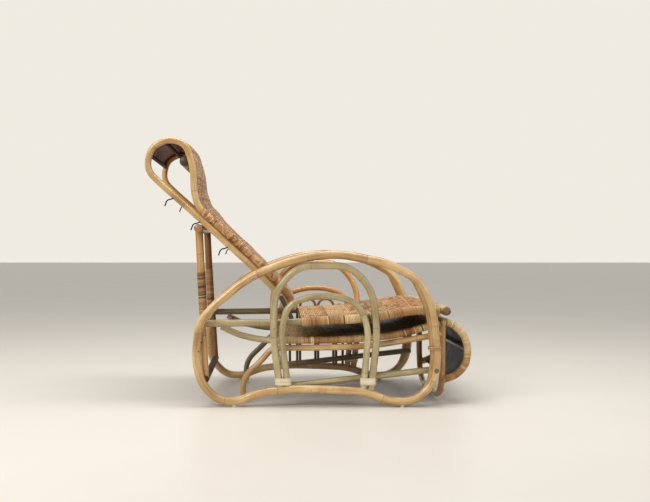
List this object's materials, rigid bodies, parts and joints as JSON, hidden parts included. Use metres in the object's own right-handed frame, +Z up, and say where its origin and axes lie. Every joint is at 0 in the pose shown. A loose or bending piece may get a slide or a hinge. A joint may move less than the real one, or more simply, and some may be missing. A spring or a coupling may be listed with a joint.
{
  "type": "rattan folding recliner",
  "caption": "Rattan recliner with bent pole side frames, woven seat, hooked adjustable back on a swinging prop, and a sliding footrest with a rolled front.",
  "frame": {"origin": "middle of the footprint, on the floor", "axes": "+X the way the sitter faces, +Y to the sitter's left, +Z up"},
  "size_m": [1.294, 0.704, 1.0607],
  "materials": {
    "pole_tan": "varnished rattan pole, satin",
    "pole_green": "weathered rattan pole, satin",
    "pole_brown": "darker rattan pole, satin",
    "cane_wrap": "split cane winding, satin",
    "cane_weave": "woven split cane, satin",
    "cane_pale": "pale cane binding, matt",
    "iron": "black iron wire",
    "steel": "plain steel",
    "glide": "pale matt plastic"
  },
  "bodies": {
    "base": {"side_loop_right": "pole_tan", "front_doubler_right": "pole_tan", "outer_arch_right": "pole_green", "inner_arch_right": "pole_green", "low_stretcher_right": "pole_green", "arch_foot_wraps_right": "cane_pale", "rear_post_right": "pole_brown", "seat_rail_right": "pole_green", "seat_rail_wrap_right": "cane_wrap", "side_loop_left": "pole_tan", "front_doubler_left": "pole_tan", "outer_arch_left": "pole_green", "inner_arch_left": "pole_green", "low_stretcher_left": "pole_green", "arch_foot_wraps_left": "cane_pale", "rear_post_left": "pole_brown", "seat_rail_left": "pole_green", "seat_rail_wrap_left": "cane_wrap", "front_dowels": "pole_green", "front_bindings": "cane_wrap", "side_glides": "glide", "grille_hoop_1": "pole_brown", "grille_hoop_2": "pole_brown", "grille_hoop_3": "pole_brown", "grille_hoop_4": "pole_brown", "rear_pivot_bar": "pole_tan", "rear_low_crossbar": "pole_brown", "seat_nose_roll": "cane_wrap", "front_cross_rail": "pole_tan", "seat_slats": "pole_brown", "seat_weave": "cane_weave", "back_pivot_plates": "steel", "back_pivot_pins": "steel"},
    "back": {"back_pole_right": "pole_tan", "back_pole_wrap_right": "cane_wrap", "catch_hooks_right": "iron", "back_pole_left": "pole_tan", "back_pole_wrap_left": "cane_wrap", "catch_hooks_left": "iron", "back_straps": "steel", "back_slats": "pole_brown", "back_weave": "cane_weave", "head_roll": "cane_weave"},
    "prop": {"prop_post_right": "pole_tan", "prop_eye_right": "cane_wrap", "prop_wrap_right": "cane_wrap", "prop_post_left": "pole_tan", "prop_eye_left": "cane_wrap", "prop_wrap_left": "cane_wrap", "catch_bar": "pole_tan"},
    "footrest": {"foot_rail_right": "pole_green", "foot_rail_wrap_right": "cane_wrap", "foot_rear_leg_right": "pole_tan", "foot_rail_left": "pole_green", "foot_rail_wrap_left": "cane_wrap", "foot_rear_leg_left": "pole_tan", "foot_front_leg": "pole_brown", "foot_slats": "pole_brown", "foot_weave": "cane_weave", "foot_glides": "glide"}
  },
  "joints": [
    {"name": "back_recline", "type": "hinge", "parent": "base", "child": "back", "pos_m": [-0.068, 0, 0.343], "axis": [0, 1, 0], "range_deg": [-20.2, 15.3]},
    {"name": "prop_swing", "type": "hinge", "parent": "base", "child": "prop", "pos_m": [-0.417, 0, 0.325], "axis": [0, 1, 0], "range_deg": [-39.3, 29.8]},
    {"name": "footrest_slide", "type": "slide", "parent": "base", "child": "footrest", "axis": [1, 0, 0], "range_m": [0, 0.48]}
  ],
  "couplings": [
    {"joint": "prop_swing", "follows": "back_recline", "ratio": 1.94}
  ]
}
